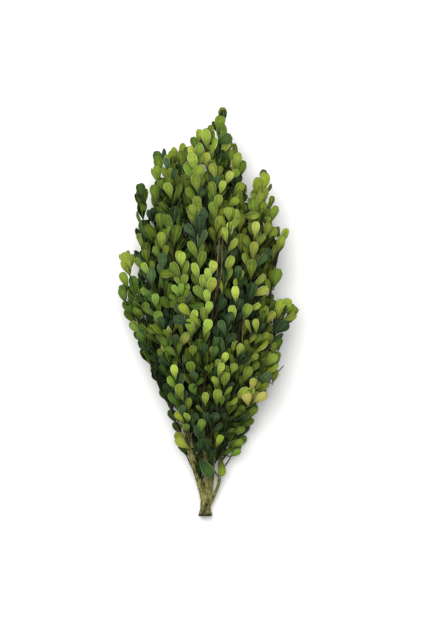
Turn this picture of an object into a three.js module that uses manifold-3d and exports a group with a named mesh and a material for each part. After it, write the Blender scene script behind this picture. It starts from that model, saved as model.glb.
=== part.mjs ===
// A cut branch of preserved boxwood, lying on a table as it would rest there.
// One woody piece forks from a flared cut end into nine stems. Leafy sprays sit on the sides and
// on the ends of those stems. A spray is a thin twig with obovate leaves grown out of it.
// Millimetres. x runs across the branch, y from the cut end to the tips, z up from the table.
import * as THREE from "three";
import { mergeVertices } from "three/addons/utils/BufferGeometryUtils.js";
import Module from "manifold-3d";

const wasm = await Module();
wasm.setup();

// The cut end seen from the middle of the branch's footprint, which is the origin.
const CUT_END_X = 1;
const CUT_END_Y = -225;

// Leaves
const LEAF_LENGTH = 23;
const LEAF_LENGTH_SPREAD = 8;
const LEAF_WIDTH_SHARE = 0.44;
// The leaves nearest to a twig's tip are young ones, as a share of the full size.
const YOUNG_LEAVES = [0.84, 0.95];
// Leaves grow larger from the foot of the branch up to this y.
const SIZE_FROM_FOOT = [0.84, 1.08];
const FULL_SIZE_FROM = 380;
const BLADE_THICKNESS = 0.7;
const LEAF_PITCH = 11.5;
const LEAF_OPENING = 28;
const LEAF_OPENING_SPREAD = 20;
const TIP_OPENING = 13;
// The branch was packed flat, so leaves open less towards the table and away from it than aside,
// and slope less than their twig.
const FLATTENING = 0.5;
const RIB_FLATTENING = 0.6;
// How much a blade faces its own twig, and from how little to how much it faces out of the branch.
// The pair at a twig's tip faces out the most.
const INWARD_FACING = 0.8;
const OUTWARD_FACING = [0.3, 1.5];
const TIP_FACING = 1.4;
const NODE_TURN = 90;
// Leaves stand at every second node: the outer one of the pair, and both at every fourth.
const EVERY_NODE = 2;
const BOTH_EVERY = 4;
const ARCH = 0.075;
const CUP = 1.2;
// Half an outline from the root to the tip: share of the length, and share of half the width.
const OUTLINE = [
  [0.5, 0.86],
  [0.84, 0.88],
];
// The place of the tip among a leaf's points, which start at the root.
const TIP = OUTLINE.length + 1;

// How far a leaf keeps on its own side of the halfway line to the next twig, and off a bare stem,
// which gives way more the further the leaf reaches from its own twig.
const CLEARANCE = 1.4;
const STEM_CLEARANCE = 1.2;
const STEM_SHARE = 0.6;
const OPENING_TRIES = [1, 0.78, 0.58, 0.4, 0.24];
// A leaf that reaches under the table is bent flat on it, with what comes this near to it.
const DEEPEST_PRESS = 12;
const PRESSED_BELOW = 1.6;
// The branch was packed flat under a board at this height.
const HIGHEST = 107;
const TIP_REACH = 15;

// How far the foliage reaches to each side: x at each y, from the cut end up to the highest leaf.
const LEFT_EDGE = [[30, -12], [62, -18], [72, -28], [84, -35], [92, -34], [97, -29], [106, -31],
  [114, -40], [130, -49], [145, -57], [162, -61], [172, -67], [180, -72], [197, -77], [214, -87],
  [241, -94], [262, -97],
  [290, -95], [299, -78], [345, -76], [362, -80], [374, -63], [403, -57], [409, -34], [426, -8],
  [440, 4], [452, 6]];
const RIGHT_EDGE = [[30, 12], [50, 16], [64, 24], [75, 41], [92, 43], [110, 53], [126, 56],
  [132, 62], [145, 66], [162, 76], [180, 80], [196, 81], [208, 89], [222, 98], [236, 98], [242, 86], [248, 71], [253, 70], [264, 79],
  [276, 73], [290, 79], [296, 86], [311, 89], [328, 77], [350, 73], [381, 67], [386, 42], [400, 39],
  [412, 34], [424, 25], [440, 22], [452, 20]];
const EDGE_SLACK = 2;
// Gaps that open upwards between neighbouring tips: the foot of the gap, its two sides at its top.
const GAPS = [
  { foot: [43, 354], left: 40, right: 49, top: 386 },
  { foot: [-62, 350], left: -67, right: -60, top: 376 },
  { foot: [-79, 228], left: -83, right: -76, top: 278 },
];

// Twigs and stems
const TWIG_RADIUS = [1.45, 1.1];
const TWIG_SIDES = 4;
const TWIG_STEP = 36;
const SEAT_GAP = 0.4;
const STEM_SIDES = 5;
const STEM_STEP = 24;
const ROUTE_SAMPLES = 24;
const LEAVING_SLOPE = 1.3;
const BARE_FOOT = 16;
const FAN_CENTRE = new THREE.Vector3(0, -60, 44);

const TRUNK = {
  step: 4,
  route: [[-2, -1, 6.4], [-2, 9, 6.8], [-1, 18, 8.5], [0, 28, 11]],
  rings: [[0, 7.2], [0.12, 6.9], [0.3, 5.4], [0.75, 5.6], [1, 3.4]],
  sides: 10,
};

// Each stem: its route, the radius at its two ends, and its sprays. A spray is the place of its
// twig's end, x, y, z, and the y at which it leaves the stem, or "end" where it goes on from it.
// Where it shapes the branch's outline, the turn of its first leaf pair about the twig follows.
const STEMS = {
  left: {
    route: [[-3, 20, 9], [-7.5, 36, 14], [-13.2, 55, 20], [-18.4, 72, 26], [-23.8, 100, 34],
      [-36, 150, 44], [-48, 200, 50], [-52, 250, 50], [-50, 290, 47]],
    radius: [4.3, 1.4],
    sprays: [[-52, 384, 44, "end", 0], [-73, 359, 54, 240, 0], [-70, 300, 42, 190], [-87, 274, 52, 165, 0],
      [-88, 241, 36, 130], [-72, 198, 58, 108], [-42, 124, 26, 78], [-26, 76, 12, 44, 0]],
  },
  centre: {
    route: [[1, 20, 9], [3.5, 36, 13], [5, 70, 24], [4, 120, 38], [5, 180, 47], [8, 240, 52],
      [10, 300, 54], [11, 335, 52]],
    radius: [4.3, 1.4],
    sprays: [[16.5, 429, 50, "end", 90], [0, 414, 64, 305, 0], [-28, 388, 54, 280, 0], [34, 390, 44, 290, 0],
      [20, 396, 38, 270, 0]],
  },
  front: {
    route: [[1, 26, 12], [-1, 60, 30], [-4, 100, 50], [-3, 150, 68], [3, 200, 78], [8, 245, 82],
      [9, 285, 82]],
    radius: [2.9, 1.3],
    sprays: [[10, 368, 80, "end"], [-12, 388, 78, 262], [-12, 326, 94, 220], [24, 322, 94, 212],
      [5, 264, 99, 165], [-17, 208, 93, 118], [12, 152, 82, 76], [-8, 102, 58, 48]],
  },
  front_left: {
    route: [[-12, 55, 20], [-18, 85, 40], [-28, 130, 58], [-36, 190, 69], [-38, 250, 71],
      [-37, 275, 71]],
    radius: [2.2, 1.3],
    sprays: [[-40, 376, 68, "end"], [-50, 314, 82, 215], [-28, 272, 94, 172], [-62, 262, 74, 164],
      [-46, 204, 86, 112], [-34, 150, 84, 84]],
  },
  front_right: {
    route: [[5, 70, 24], [14, 100, 43], [27, 150, 61], [36, 210, 70], [39, 260, 70],
      [38, 280, 68]],
    radius: [2.2, 1.3],
    sprays: [[33, 345, 66, "end"], [52, 304, 82, 206], [34, 256, 93, 168], [73, 256, 64, 156],
      [22, 208, 93, 118], [54, 200, 80, 112]],
  },
  right: {
    route: [[5, 68, 24], [15, 92, 30], [28, 125, 38], [43, 170, 46], [53, 215, 50],
      [56, 255, 50], [56, 282, 49]],
    radius: [2.8, 1.4],
    sprays: [[61, 361, 48, "end", 90], [54, 337, 62, 238], [80, 299, 54, 192, 0], [84, 231, 52, 142, 0],
      [71, 174, 60, 112], [55, 125, 36, 84]],
  },
  back: {
    route: [[2, 26, 10], [2, 60, 14], [1, 120, 21], [3, 180, 25], [6, 240, 26], [8, 284, 24]],
    radius: [2.7, 1.3],
    sprays: [[20, 364, 20, "end"], [-10, 316, 5, 218], [36, 306, 4, 206], [18, 256, 5, 165],
      [-18, 258, 4, 158], [-2, 204, 6, 114], [12, 136, 8, 74]],
  },
  back_left: {
    route: [[-11, 52, 18], [-18, 85, 19], [-28, 130, 23], [-36, 190, 26], [-38, 250, 25],
      [-37, 278, 24]],
    radius: [2.1, 1.3],
    sprays: [[-34, 362, 22, "end"], [-55, 344, 22, 208], [-58, 250, 6, 160], [-62, 190, 12, 116],
      [-20, 142, 12, 76]],
  },
  back_right: {
    route: [[4, 14, 8], [12.3, 28, 11], [13.8, 45, 13], [15.5, 72, 17], [27, 115, 22], [42, 165, 24],
      [52, 205, 26]],
    radius: [1.9, 1.3],
    sprays: [[74, 287, 30, "end"], [56, 250, 5, 160], [77, 180, 26, 136], [30, 196, 7, 116],
      [46, 106, 17, 64], [31, 74, 8, 50, 20]],
  },
};

const UP = new THREE.Vector3(0, 0, 1);
const vector = (xyz) => new THREE.Vector3(...xyz);
const mix = (a, b, t) => a + (b - a) * t;
const radians = THREE.MathUtils.degToRad;

// A repeatable draw from 0 to 1 for a set of whole numbers.
function draw(...keys) {
  let bits = 20261;
  for (const key of keys) {
    bits = Math.imul(bits ^ (key + 1), 0x9e3779b1);
    bits ^= bits >>> 15;
    bits = Math.imul(bits, 0x85ebca77);
    bits ^= bits >>> 13;
  }
  return (bits >>> 0) / 4294967296;
}

// A line of points that can be asked for the place and direction at any length along it.
class Route {
  constructor(points) {
    this.points = points;
    this.reach = [0];
    for (let i = 1; i < points.length; i += 1)
      this.reach.push(this.reach[i - 1] + points[i].distanceTo(points[i - 1]));
    this.length = this.reach.at(-1);
  }

  at(length) {
    const i = Math.max(1, this.reach.findIndex((reach) => reach >= Math.min(length, this.length)));
    const step = this.reach[i] - this.reach[i - 1];
    const direction = this.points[i].clone().sub(this.points[i - 1]).divideScalar(step);
    const place = this.points[i - 1].clone().addScaledVector(direction, length - this.reach[i - 1]);
    return { place, direction };
  }

  // The length along the route at which it reaches a given y.
  lengthAtY(y) {
    const i = this.points.findIndex((point) => point.y >= y);
    const [before, after] = [this.points[i - 1], this.points[i]];
    return mix(this.reach[i - 1], this.reach[i], (y - before.y) / (after.y - before.y));
  }
}

// A smooth route cut into straight lengths of about one step each, which its solid follows.
function inSteps(smooth, step) {
  const steps = Math.max(2, Math.round(smooth.length / step));
  const points = [];
  for (let i = 0; i <= steps; i += 1) points.push(smooth.at((smooth.length * i) / steps).place);
  return points;
}

function stemRoute(route, step) {
  const curve = new THREE.CatmullRomCurve3(route.map(vector), false, "catmullrom");
  return new Route(inSteps(new Route(curve.getPoints((route.length - 1) * 4)), step));
}

// A twig's route, from the middle of its stem. Its foot, the second point, is seated on the end
// of the stem or on its side. From there it turns towards the fan of the branch.
function twigRoute(start, stemDirection, stemRadius, tip) {
  const straight = tip.clone().sub(start).normalize();
  const aside = straight.clone().addScaledVector(stemDirection, -straight.dot(stemDirection)).normalize();
  const onEnd = stemRadius === 0;
  const foot = start.clone().addScaledVector(onEnd ? stemDirection : aside, stemRadius + SEAT_GAP);
  const leaving = stemDirection.clone();
  if (!onEnd) leaving.addScaledVector(aside, LEAVING_SLOPE).normalize();
  const arriving = tip.clone().sub(FAN_CENTRE).normalize().add(straight).normalize();
  const reach = tip.distanceTo(foot);
  const curve = new THREE.CubicBezierCurve3(
    foot,
    foot.clone().addScaledVector(leaving, reach * (onEnd ? 0.36 : 0.2)),
    tip.clone().addScaledVector(arriving, reach * -0.36),
    tip,
  );
  return new Route([start, ...inSteps(new Route(curve.getPoints(ROUTE_SAMPLES)), TWIG_STEP)]);
}

// Stems and sprays as routes, before any of them has a solid.
const stems = [];
const sprays = [];
for (const [name, stem] of Object.entries(STEMS)) {
  const route = stemRoute(stem.route, STEM_STEP);
  stems.push({ name, route, radius: stem.radius });
  stem.sprays.forEach(([x, y, z, leaves, turned], i) => {
    const onEnd = leaves === "end";
    const from = onEnd ? route.length : route.lengthAtY(leaves);
    const { place, direction } = route.at(from);
    const stemRadius = onEnd ? 0 : mix(...stem.radius, from / route.length);
    const twig = twigRoute(place, direction, stemRadius, new THREE.Vector3(x, y, z));
    const number = sprays.length;
    const turn = radians(turned ?? 360 * draw(number));
    sprays.push({ name: `${name}_spray_${i + 1}`, number, twig, turn });
  });
}

// Every twig with room for the leaves past its end: a leaf stays nearer to its own than to any other.
const twigLines = sprays.map(({ twig }) => {
  const { place, direction } = twig.at(twig.length);
  return [...twig.points, place.addScaledVector(direction, TIP_REACH)];
});

function distanceToLine(p, points) {
  let nearest = Infinity;
  for (let i = 1; i < points.length; i += 1) {
    const [a, b] = [points[i - 1], points[i]];
    const [bx, by, bz] = [b.x - a.x, b.y - a.y, b.z - a.z];
    const [px, py, pz] = [p.x - a.x, p.y - a.y, p.z - a.z];
    const t = Math.min(1, Math.max(0, (px * bx + py * by + pz * bz) / (bx * bx + by * by + bz * bz)));
    const d = (px - bx * t) ** 2 + (py - by * t) ** 2 + (pz - bz * t) ** 2;
    nearest = Math.min(nearest, d);
  }
  return Math.sqrt(nearest);
}

// True where every point lies nearer to its own twig than to any other, and clear of the stems.
function keepsClear(points, owner) {
  return points.every((p) => {
    const own = distanceToLine(p, twigLines[owner]);
    return (
      twigLines.every((line, i) => i === owner || distanceToLine(p, line) >= own + CLEARANCE) &&
      stems.every(
        ({ route, radius }) =>
          distanceToLine(p, route.points) >= STEM_SHARE * own + STEM_CLEARANCE + radius[0],
      )
    );
  });
}

// The x of an edge at a given y, and past its ends the x of its first or last point.
function edgeAt(edge, y) {
  const i = edge.findIndex(([upTo]) => upTo >= y);
  if (i < 1) return edge.at(i)[1];
  const [[y0, x0], [y1, x1]] = [edge[i - 1], edge[i]];
  return mix(x0, x1, (y - y0) / (y1 - y0));
}

function inGap({ foot, left, right, top }, { x, y }) {
  const share = (y - foot[1]) / (top - foot[1]);
  return share > 0 && share < 1 && x > mix(foot[0], left, share) && x < mix(foot[0], right, share);
}

// True where every point lies inside the foliage's edges and out of the gaps between its tips.
function staysWithin(points) {
  return points.every(
    (p) =>
      p.x > edgeAt(LEFT_EDGE, p.y) - EDGE_SLACK &&
      p.x < edgeAt(RIGHT_EDGE, p.y) + EDGE_SLACK &&
      !GAPS.some((gap) => inGap(gap, p)),
  );
}

// The way out from the middle of the branch, which leaves turn their faces to.
function outwards({ x, y, z }, lift) {
  const rise = Math.min(1, y / 200);
  const height = z - mix(8, 50, rise) + lift;
  return new THREE.Vector3((x - 6 * rise) * 0.16, 0, height + Math.sign(height) * 14);
}

// How far out a leaf reaches beyond its root.
function outwardness({ points }) {
  return outwards(points[TIP], 0).length() - outwards(points[0], 0).length();
}

// The eight points of a leaf's middle surface, from the root round to the root again, and its normal.
function leafShape(spray, node, side, openingShare) {
  const pick = (k) => draw(spray.number, node, side, k);
  const spot = spray.twig.length - node * LEAF_PITCH - (node ? pick(0) * 1.5 : 0.5);
  const { place, direction } = spray.twig.at(spot);
  const across = direction.clone().cross(UP).normalize();
  const over = across.clone().cross(direction);
  const turn = spray.turn + radians(NODE_TURN * node + 180 * side + 20 * (pick(1) - 0.5));
  const away = across.multiplyScalar(Math.cos(turn)).addScaledVector(over, Math.sin(turn));
  const opening = radians(
    openingShare * (node ? LEAF_OPENING + LEAF_OPENING_SPREAD * (pick(2) - 0.5) : TIP_OPENING),
  );
  const inner = direction.clone().multiplyScalar(Math.sin(opening)).addScaledVector(away, -Math.cos(opening));
  const rib = direction.multiplyScalar(Math.cos(opening));
  rib.add(away.multiply(new THREE.Vector3(1, 1, FLATTENING)).multiplyScalar(Math.sin(opening)));
  rib.multiply(new THREE.Vector3(1, 1, RIB_FLATTENING)).normalize();
  const out = outwards(place, 6).normalize();
  const outward = node ? mix(...OUTWARD_FACING, pick(3)) : TIP_FACING;
  const turned = outward * (inner.dot(out) < 0 ? -1 : 1);
  const facing = inner.multiplyScalar(INWARD_FACING).addScaledVector(out, turned);
  const sideways = facing.clone().cross(rib).normalize();
  const normal = rib.clone().cross(sideways).normalize();
  const grown = mix(...SIZE_FROM_FOOT, Math.min(1, place.y / FULL_SIZE_FROM));
  const size = (YOUNG_LEAVES[node] ?? 1) * grown;
  const length = size * (LEAF_LENGTH + LEAF_LENGTH_SPREAD * (pick(4) - 0.5));
  const halfWidth = (length * LEAF_WIDTH_SHARE * (0.92 + 0.16 * pick(5))) / 2;
  const point = (u, v) =>
    place
      .clone()
      .addScaledVector(rib, u * length)
      .addScaledVector(sideways, v * halfWidth)
      .addScaledVector(normal, -ARCH * length * u * u - CUP * v * v);
  const right = OUTLINE.map(([u, v]) => point(u, -v));
  const left = OUTLINE.map(([u, v]) => point(u, v)).reverse();
  return { points: [place, ...right, point(1, 0), ...left], normal };
}

// A leaf as it comes to rest: opened as far as its neighbours and the table let it, or none.
function leafThatFits(spray, node, side) {
  for (const share of OPENING_TRIES) {
    const leaf = leafShape(spray, node, side, share);
    const heights = leaf.points.map((p) => p.z);
    const between = Math.min(...heights) > -DEEPEST_PRESS && Math.max(...heights) < HIGHEST;
    const fits = between && staysWithin(leaf.points);
    if (fits && keepsClear(leaf.points, spray.number)) return leaf;
  }
  return null;
}

function solid(geometry) {
  const bare = geometry.clone();
  bare.deleteAttribute("normal");
  bare.deleteAttribute("uv");
  const merged = mergeVertices(bare, 1e-4);
  return new wasm.Manifold(
    new wasm.Mesh({
      numProp: 3,
      vertProperties: merged.attributes.position.array,
      triVerts: new Uint32Array(merged.index.array),
    }),
  );
}

// A leaf's blade: two like faces, folded along the rib, and its rim. Where it would go under
// the table it lies flat on it.
function bladeSolid({ points, normal }) {
  const count = points.length;
  const half = normal.clone().multiplyScalar(BLADE_THICKNESS / 2);
  const faces = [half, half.clone().negate()].map((offset) => points.map((p) => p.clone().add(offset)));
  const [lower, upper] = normal.z < 0 ? faces : [faces[1], faces[0]];
  points.forEach((p, i) => {
    if (p.z >= PRESSED_BELOW) return;
    lower[i].z = 0;
    upper[i].z = BLADE_THICKNESS;
  });
  const index = [];
  for (let i = 1; i < count - 1; i += 1) {
    const [b, c] = [(TIP + i) % count, (TIP + i + 1) % count];
    index.push(TIP, b, c);
    index.push(count + TIP, count + c, count + b);
  }
  for (let i = 0; i < count; i += 1) {
    const next = (i + 1) % count;
    index.push(i, count + i, count + next);
    index.push(i, count + next, next);
  }
  const geometry = new THREE.BufferGeometry().setFromPoints([...faces[0], ...faces[1]]);
  geometry.setIndex(index);
  return solid(geometry);
}

// A stem or twig: a cylinder bent along part of a route, with a radius for each share of it.
function stemSolid(route, from, to, radiusAt, sides, steps, turn = 0) {
  const cylinder = new THREE.CylinderGeometry(1, 1, 1, sides, steps, false, turn);
  const position = cylinder.getAttribute("position");
  for (let i = 0; i < position.count; i += 1) {
    const share = position.getY(i) + 0.5;
    const { place, direction } = route.at(mix(from, to, share));
    const across = direction.clone().cross(UP).normalize();
    const over = across.clone().cross(direction);
    const radius = radiusAt(share);
    place.addScaledVector(across, position.getX(i) * radius).addScaledVector(over, position.getZ(i) * radius);
    position.setXYZ(i, place.x, place.y, place.z);
  }
  return solid(cylinder);
}

function spraySolid(spray) {
  const { twig, turn } = spray;
  const foot = twig.reach[1];
  const radiusAt = (share) => mix(...TWIG_RADIUS, share);
  // A leaf grows from the middle of one of the twig's flat sides.
  const corner = Math.PI / 2 - turn - Math.PI / TWIG_SIDES;
  let joined = stemSolid(twig, foot, twig.length, radiusAt, TWIG_SIDES, twig.points.length - 2, corner);
  const nodes = Math.floor((twig.length - foot - BARE_FOOT) / LEAF_PITCH);
  for (let node = 0; node <= nodes; node += EVERY_NODE) {
    const pair = [0, 1].map((side) => leafThatFits(spray, node, side)).filter(Boolean);
    pair.sort((a, b) => outwardness(b) - outwardness(a));
    const kept = node % BOTH_EVERY ? 1 : 2;
    for (const leaf of pair.slice(0, kept)) joined = joined.add(bladeSolid(leaf));
  }
  return joined;
}

function trunkRadius(share) {
  const { rings } = TRUNK;
  const i = Math.max(1, rings.findIndex(([at]) => at >= share));
  const [[a, ra], [b, rb]] = [rings[i - 1], rings[i]];
  return mix(ra, rb, (share - a) / (b - a));
}

function woodSolid() {
  const trunk = stemRoute(TRUNK.route, TRUNK.step);
  let wood = stemSolid(trunk, 0, trunk.length, trunkRadius, TRUNK.sides, trunk.points.length - 1);
  for (const { route, radius } of stems) {
    const steps = route.points.length - 1;
    wood = wood.add(stemSolid(route, 0, route.length, (share) => mix(...radius, share), STEM_SIDES, steps));
  }
  const table = new THREE.BoxGeometry(60, 60, 10).translate(0, 20, -5);
  return wood.subtract(solid(table));
}

function mesh(name, manifold, color) {
  const { numProp, vertProperties, triVerts } = manifold.getMesh();
  const geometry = new THREE.BufferGeometry();
  geometry.setAttribute("position", new THREE.BufferAttribute(vertProperties, numProp));
  geometry.setIndex(new THREE.BufferAttribute(triVerts, 1));
  geometry.computeVertexNormals();
  const material = new THREE.MeshStandardMaterial({ color, roughness: 0.6, metalness: 0 });
  const made = new THREE.Mesh(geometry, material);
  made.name = name;
  return made;
}

const branch = new THREE.Group();
branch.name = "preserved_boxwood";
branch.add(mesh("woody_branch", woodSolid(), "#6b6a3a"));
for (const spray of sprays) branch.add(mesh(spray.name, spraySolid(spray), "#6f8a2c"));
branch.position.set(CUT_END_X, CUT_END_Y, 0);

export default branch;
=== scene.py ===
import math

import bpy
import numpy as np
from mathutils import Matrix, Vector


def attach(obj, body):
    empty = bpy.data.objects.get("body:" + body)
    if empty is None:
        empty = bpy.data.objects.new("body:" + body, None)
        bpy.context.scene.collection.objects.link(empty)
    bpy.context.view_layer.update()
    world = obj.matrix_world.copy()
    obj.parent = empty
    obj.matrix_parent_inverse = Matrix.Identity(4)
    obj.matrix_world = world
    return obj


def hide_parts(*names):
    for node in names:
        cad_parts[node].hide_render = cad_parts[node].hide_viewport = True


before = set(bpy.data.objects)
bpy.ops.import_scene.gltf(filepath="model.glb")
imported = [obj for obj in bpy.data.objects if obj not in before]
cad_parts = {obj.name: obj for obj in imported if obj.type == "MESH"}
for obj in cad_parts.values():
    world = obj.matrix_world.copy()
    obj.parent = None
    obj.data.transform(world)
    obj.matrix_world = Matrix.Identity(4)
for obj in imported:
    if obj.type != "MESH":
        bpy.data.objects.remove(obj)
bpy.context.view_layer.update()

MM = 0.001

# The cut end seen from the middle of the branch's footprint, which is the origin
CUT_END = np.array([1.0, -225.0, 0.0])

# Camera, seen from the origin, straight above the middle of the picture
VIEW_CENTRE = (4.85, -3.6, 35)
VIEW_HEIGHT = 694
CAMERA_DISTANCE = 6000
CAMERA_REACH = 20000
SENSOR = 36

# The pale studio; the floor's size is in metres
WORLD_LIGHT = 0.37
FLOOR_TONE = 0.9
FLOOR_ROUGHNESS = 0.8
FLOOR_SIZE = 8

SEED = 20261
# What each of a leaf's draws decides
SPOT, TURN, OPENING, FACING, LENGTH, WIDTH = range(6)
WAVE, TWIST, BEND, FOLD = range(10, 14)
LIGHTNESS, FRESHNESS, HUE, ACCENT = 20, 21, 22, 24
# Numbers that keep the draws for other things apart from these
HAS_SHOOT, SHOOT_SHAPE, SHOOT_LEAVES = 60, range(70, 73), 200
TWIG_TONE, INNER_TWIGS, INNER_STEP, INNER_TONE = 300, 400, 500, 501
SET_LEAF, CROSSING_LEAF, CROSSING_DRAWS = 800, 900, 10

# Leaves, as in the solids
LEAF_LENGTHS = (19, 27)
LEAF_WIDTH = 0.44
WIDTHS = (0.92, 1.08)
LEAF_PITCH = 11.5
# How far the first leaves are from the twig's end, and the others from their nodes
TIP_SPOT = 0.5
SPOT_SPREAD = 1.5
LEAF_OPENINGS = (18, 38)
TIP_OPENING = 13
NODE_TURN = 90
TURN_SPREAD = 20
FLAT = 0.5
RIB_FLAT = 0.6
YOUNG_LEAVES = [0.84, 0.95]
SIZE_FROM_FOOT = (0.84, 1.08)
FULL_SIZE_FROM = 380
ARCH = 0.075
CUP = 1.2
INWARD_FACING = 0.8
OUTWARD_FACING = (0.3, 1.5)
TIP_FACING = 1.4
OUTLINE = [(0, 0), (0.5, -0.86), (0.84, -0.88), (1, 0), (0.84, 0.88), (0.5, 0.86)]
CLEARANCE = 1.4
STEM_CLEARANCE = 1.2
STEM_SHARE = 0.6
TRIES = [1, 0.78, 0.58, 0.4, 0.24]
DEEPEST_PRESS = 12
HIGHEST = 107
TIP_REACH = 15

# The middle of the foliage: its height at the cut end and from RISEN_AT on, and how far aside it
# then is. Leaves face away from it, and less to the sides than up and down.
MIDDLE_HEIGHT = (8, 50)
RISEN_AT = 200
MIDDLE_ASIDE = 6
SIDE_FACING = 0.16
FACING_LIFT = 6
LEAST_UPRIGHT = 14

# Twigs and stems, as in the solids
TWIG_STEP = 36
SEAT_GAP = 0.4
STEM_STEP = 24
ROUTE_SAMPLES = 24
LEAVING_SLOPE = 1.3
# How far a twig runs straight at its ends, and where it leaves a stem's side, as shares of its reach
STRAIGHT = 0.36
SIDE_STRAIGHT = 0.2
FAN_CENTRE = np.array([0.0, -60.0, 44.0])

# How far the foliage reaches to the left and right, as (distance from the cut end, reach)
LEFT_EDGE = [
    (30, -12), (62, -18), (72, -28), (84, -35), (92, -34), (97, -29), (106, -31), (114, -40),
    (130, -49), (145, -57), (162, -61), (172, -67), (180, -72), (197, -77), (214, -87), (241, -94),
    (262, -97), (290, -95), (299, -78), (345, -76), (362, -80), (374, -63), (403, -57), (409, -34),
    (426, -8), (440, 4), (452, 6),
]
RIGHT_EDGE = [
    (30, 12), (50, 16), (64, 24), (75, 41), (92, 43), (110, 53), (126, 56), (132, 62), (145, 66),
    (162, 76), (180, 80), (196, 81), (208, 89), (222, 98), (236, 98), (242, 86), (248, 71),
    (253, 70), (264, 79), (276, 73), (290, 79), (296, 86), (311, 89), (328, 77), (350, 73),
    (381, 67), (386, 42), (400, 39), (412, 34), (424, 25), (440, 22), (452, 20),
]
SLACK = 2
# Gaps between neighbouring tips: the foot, x and y, the two sides at the top, and the top's y
GAPS = [(43, 354, 40, 49, 386), (-62, 350, -67, -60, 376), (-79, 228, -83, -76, 278)]

# Finer than in the solids: thin blades and twigs, and leaves down to the twig's foot
BLADE_THICKNESS = 0.42
FINE_TWIG_RADIUS = (0.95, 0.5)
BARE_FOOT = 4

# Side shoots of a twig, from its third node on, and more of them towards the tips
SHOOT_RADIUS = (0.72, 0.48)
SHOOT_REACH = (15, 27)
SHOOT_SLOPES = (24, 38)
SHOOT_TURN = 30
SHOOT_SPOT = 1
SHOOT_PITCH = 6.2
SHOOT_FOOT = 5
SHOOT_LEAF_SIZE = 0.9
LOWEST_SHOOT = 1.5
FIRST_SHOOT = 2
SHOOT_SHARE = 0.4
TIP_SHOOT_SHARE = 0.65
TIPS_FROM = 330

# Inner twigs from the stems: their spacing, and how far from the stem's foot and end they stay
INNER_STEPS = (2.1, 3.9)
INNER_FROM = 12
INNER_END = 8
# The turn from one to the next, and from stem to stem
GOLDEN_ANGLE = 137.5
STEM_TURN = 60
INNER_FLAT = 0.8
INNER_SEAT = 0.6
INNER_REACH = (26, 74)
INNER_SPREAD = (0.3, 0.6)
# How far along the stem the curve's middle and tip lie, and the middle's share of the reach
INNER_ALONG = (0.35, 0.95)
INNER_MIDDLE = 0.6
INNER_SAMPLES = 8
INNER_LEAF_SIZE = 0.82
INNER_FOOT = 9
FEWEST_LEAVES = 3
LOWEST_INNER = 2.5
# How high above the middle of the foliage they may reach, as (distance from the cut end, height)
INNER_TOP = [(30, 6), (60, 14), (110, 32), (160, 44), (215, 46), (260, 24), (450, 24)]
INNER_INSET = 9
TWIG_CLEARANCE = 1.6

# Places on a leaf's rib that stand for it where room is sought, and the one for its colour
MARKS = np.array([0.3, 0.55, 0.8, 1.0])
COLOUR_MARK = 2
LEAF_GAP = 4.6
NEARBY = 20
MOST_MARKS = 60000

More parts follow.
